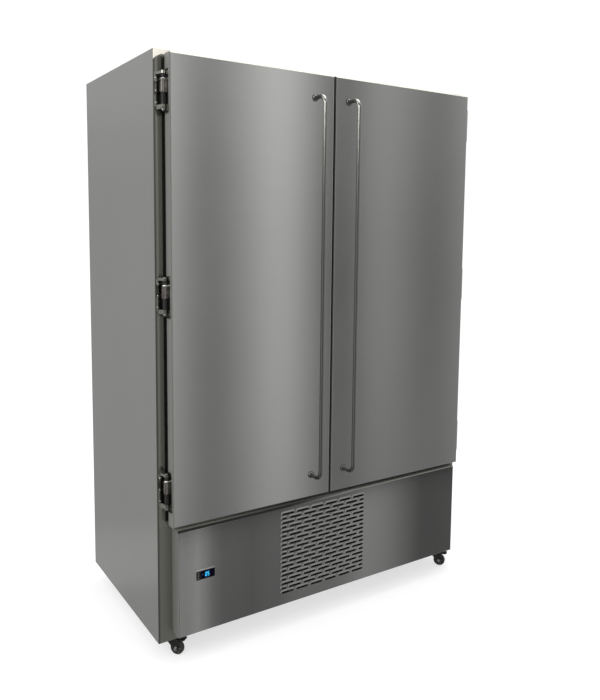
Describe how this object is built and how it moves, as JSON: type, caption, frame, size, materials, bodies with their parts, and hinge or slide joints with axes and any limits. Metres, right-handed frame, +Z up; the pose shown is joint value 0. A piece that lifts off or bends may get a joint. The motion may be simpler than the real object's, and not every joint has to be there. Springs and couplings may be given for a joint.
{
  "type": "two-door upright specimen refrigerator",
  "caption": "Tall stainless cabinet with tall hinged doors, full-length tube handles, strap hinges, slotted lower grille, small controller and swivel castors",
  "frame": {"origin": "floor, under the middle of the whole outline", "axes": "+Z up, doors face -Y, +X to the viewer's right"},
  "size_m": [1.4, 0.871, 2.09],
  "materials": {
    "stainless_body": "satin",
    "stainless_door": "brushed, satin",
    "stainless_fascia": "brushed, satin",
    "stainless_inside": "satin",
    "galvanised": "matt zinc",
    "foam": "rigid foam",
    "gasket_rubber": "matt",
    "handle_tube": "polished",
    "hinge_metal": "polished die casting",
    "hinge_pin": "turned",
    "controller_plastic": "fine texture",
    "display_window": "smoked",
    "key_plastic": "fine texture",
    "castor_steel": "dark coated",
    "castor_tyre": "matt",
    "pedal_plastic": "moulded",
    "fan_plastic": "moulded",
    "compressor_paint": "gloss black",
    "shelf_steel": "satin",
    "gland_plastic": "moulded"
  },
  "bodies": {
    "cabinet": {"side_panel_left": "stainless_body", "side_panel_right": "stainless_body", "back_panel": "galvanised", "top_panel": "stainless_body", "base_frame": "galvanised", "insulation_left": "foam", "insulation_right": "foam", "insulation_back": "foam", "insulation_roof": "foam", "insulation_floor": "foam", "inner_liner": "stainless_inside", "deck_panel": "stainless_inside", "centre_mullion": "stainless_inside", "fascia_panel": "stainless_fascia", "controller_body": "controller_plastic", "controller_display": "display_window", "castor_plates": "castor_steel", "left_hinge_frame_leaves": "hinge_metal", "right_hinge_frame_leaves": "hinge_metal", "left_hinge_pins": "hinge_pin", "right_hinge_pins": "hinge_pin", "compressor": "compressor_paint", "condenser_unit": "galvanised", "evaporator_unit": "stainless_inside", "shelf_uprights": "shelf_steel", "shelf_clips": "shelf_steel", "shelf_left_1": "shelf_steel", "shelf_left_2": "shelf_steel", "shelf_left_3": "shelf_steel", "shelf_right_1": "shelf_steel", "shelf_right_2": "shelf_steel", "shelf_right_3": "shelf_steel", "cable_gland": "gland_plastic"},
    "left_door": {"left_door_skin": "stainless_door", "left_door_insulation": "foam", "left_door_inner_panel": "stainless_inside", "left_door_gasket": "gasket_rubber", "left_door_handle": "handle_tube", "left_hinge_door_leaves": "hinge_metal"},
    "right_door": {"right_door_skin": "stainless_door", "right_door_insulation": "foam", "right_door_inner_panel": "stainless_inside", "right_door_gasket": "gasket_rubber", "right_door_handle": "handle_tube", "right_hinge_door_leaves": "hinge_metal"},
    "swivel_front_left": {"castor_fork_front_left": "castor_steel"},
    "wheel_front_left": {"castor_wheel_front_left": "castor_tyre"},
    "brake_front_left": {"castor_brake_front_left": "pedal_plastic"},
    "swivel_front_right": {"castor_fork_front_right": "castor_steel"},
    "wheel_front_right": {"castor_wheel_front_right": "castor_tyre"},
    "brake_front_right": {"castor_brake_front_right": "pedal_plastic"},
    "swivel_rear_left": {"castor_fork_rear_left": "castor_steel"},
    "wheel_rear_left": {"castor_wheel_rear_left": "castor_tyre"},
    "swivel_rear_right": {"castor_fork_rear_right": "castor_steel"},
    "wheel_rear_right": {"castor_wheel_rear_right": "castor_tyre"},
    "key_down_button": {"key_down": "key_plastic"},
    "key_set_button": {"key_set": "key_plastic"},
    "key_up_button": {"key_up": "key_plastic"},
    "condenser_fan_rotor": {"condenser_fan": "fan_plastic"},
    "evaporator_fan_rotor": {"evaporator_fan": "fan_plastic"}
  },
  "joints": [
    {"name": "left_door_hinge", "type": "hinge", "parent": "cabinet", "child": "left_door", "pos_m": [-0.677, -0.3345, 1.28725], "axis": [0, 0, -1], "range_deg": [0, 110]},
    {"name": "right_door_hinge", "type": "hinge", "parent": "cabinet", "child": "right_door", "pos_m": [0.677, -0.3345, 1.28725], "axis": [0, 0, 1], "range_deg": [0, 110]},
    {"name": "swivel_joint_front_left", "type": "hinge", "parent": "cabinet", "child": "swivel_front_left", "pos_m": [-0.638, -0.2665, 0.0607], "axis": [0, 0, 1], "continuous": true},
    {"name": "axle_joint_front_left", "type": "hinge", "parent": "swivel_front_left", "child": "wheel_front_left", "pos_m": [-0.62175, -0.28806, 0.025], "axis": [0.7986, 0.6018, 0], "continuous": true},
    {"name": "brake_joint_front_left", "type": "hinge", "parent": "swivel_front_left", "child": "brake_front_left", "pos_m": [-0.61995, -0.29046, 0.0545], "axis": [0.7986, 0.6018, 0], "range_deg": [0, 18]},
    {"name": "swivel_joint_front_right", "type": "hinge", "parent": "cabinet", "child": "swivel_front_right", "pos_m": [0.638, -0.2665, 0.0607], "axis": [0, 0, 1], "continuous": true},
    {"name": "axle_joint_front_right", "type": "hinge", "parent": "swivel_front_right", "child": "wheel_front_right", "pos_m": [0.65425, -0.28806, 0.025], "axis": [0.7986, 0.6018, 0], "continuous": true},
    {"name": "brake_joint_front_right", "type": "hinge", "parent": "swivel_front_right", "child": "brake_front_right", "pos_m": [0.65605, -0.29046, 0.0545], "axis": [0.7986, 0.6018, 0], "range_deg": [0, 18]},
    {"name": "swivel_joint_rear_left", "type": "hinge", "parent": "cabinet", "child": "swivel_rear_left", "pos_m": [-0.638, 0.3575, 0.0607], "axis": [0, 0, 1], "continuous": true},
    {"name": "axle_joint_rear_left", "type": "hinge", "parent": "swivel_rear_left", "child": "wheel_rear_left", "pos_m": [-0.62175, 0.33594, 0.025], "axis": [0.7986, 0.6018, 0], "continuous": true},
    {"name": "swivel_joint_rear_right", "type": "hinge", "parent": "cabinet", "child": "swivel_rear_right", "pos_m": [0.638, 0.3575, 0.0607], "axis": [0, 0, 1], "continuous": true},
    {"name": "axle_joint_rear_right", "type": "hinge", "parent": "swivel_rear_right", "child": "wheel_rear_right", "pos_m": [0.65425, 0.33594, 0.025], "axis": [0.7986, 0.6018, 0], "continuous": true},
    {"name": "key_down_press", "type": "slide", "parent": "cabinet", "child": "key_down_button", "axis": [0, 1, 0], "range_m": [0, 0.0008], "stiffness_N_per_m": 400},
    {"name": "key_set_press", "type": "slide", "parent": "cabinet", "child": "key_set_button", "axis": [0, 1, 0], "range_m": [0, 0.0008], "stiffness_N_per_m": 400},
    {"name": "key_up_press", "type": "slide", "parent": "cabinet", "child": "key_up_button", "axis": [0, 1, 0], "range_m": [0, 0.0008], "stiffness_N_per_m": 400},
    {"name": "condenser_fan_shaft", "type": "hinge", "parent": "cabinet", "child": "condenser_fan_rotor", "pos_m": [-0.042, -0.1575, 0.258], "axis": [0, 1, 0], "continuous": true},
    {"name": "evaporator_fan_shaft", "type": "hinge", "parent": "cabinet", "child": "evaporator_fan_rotor", "pos_m": [0, 0.1247, 1.945], "axis": [0, 1, 0], "continuous": true}
  ]
}
